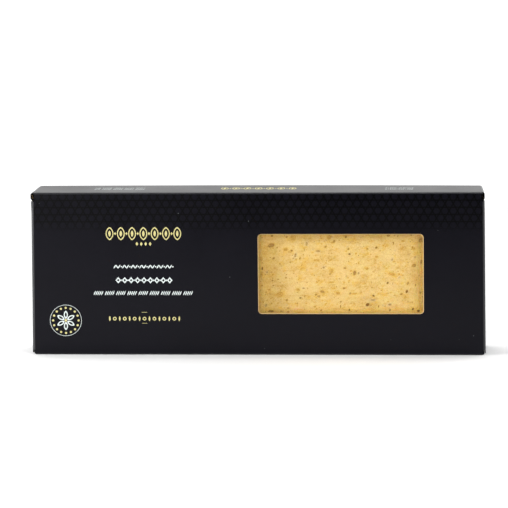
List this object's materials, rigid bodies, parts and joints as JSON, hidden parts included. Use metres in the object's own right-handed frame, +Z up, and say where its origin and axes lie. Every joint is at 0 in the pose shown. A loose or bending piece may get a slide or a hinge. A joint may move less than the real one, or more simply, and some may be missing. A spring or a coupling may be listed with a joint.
{
  "type": "nougat bar in windowed carton",
  "caption": "Shut flat black tuck-end carton standing on its long narrow side, with a clear window in its front that shows the bar of almond nougat inside.",
  "frame": {"origin": "middle of the base that the carton stands on", "axes": "+X along the bar, towards the windowed end; +Y from the windowed front to the back; +Z up"},
  "size_m": [0.24, 0.028, 0.087],
  "materials": {
    "carton": "matte laminated black board with gold and white print",
    "window_film": "clear glossy film",
    "nougat": "soft waxy cream-yellow nougat with chopped almonds"
  },
  "bodies": {
    "root": {"carton": "carton", "window_film": "window_film", "nougat_block": "nougat"}
  },
  "joints": []
}
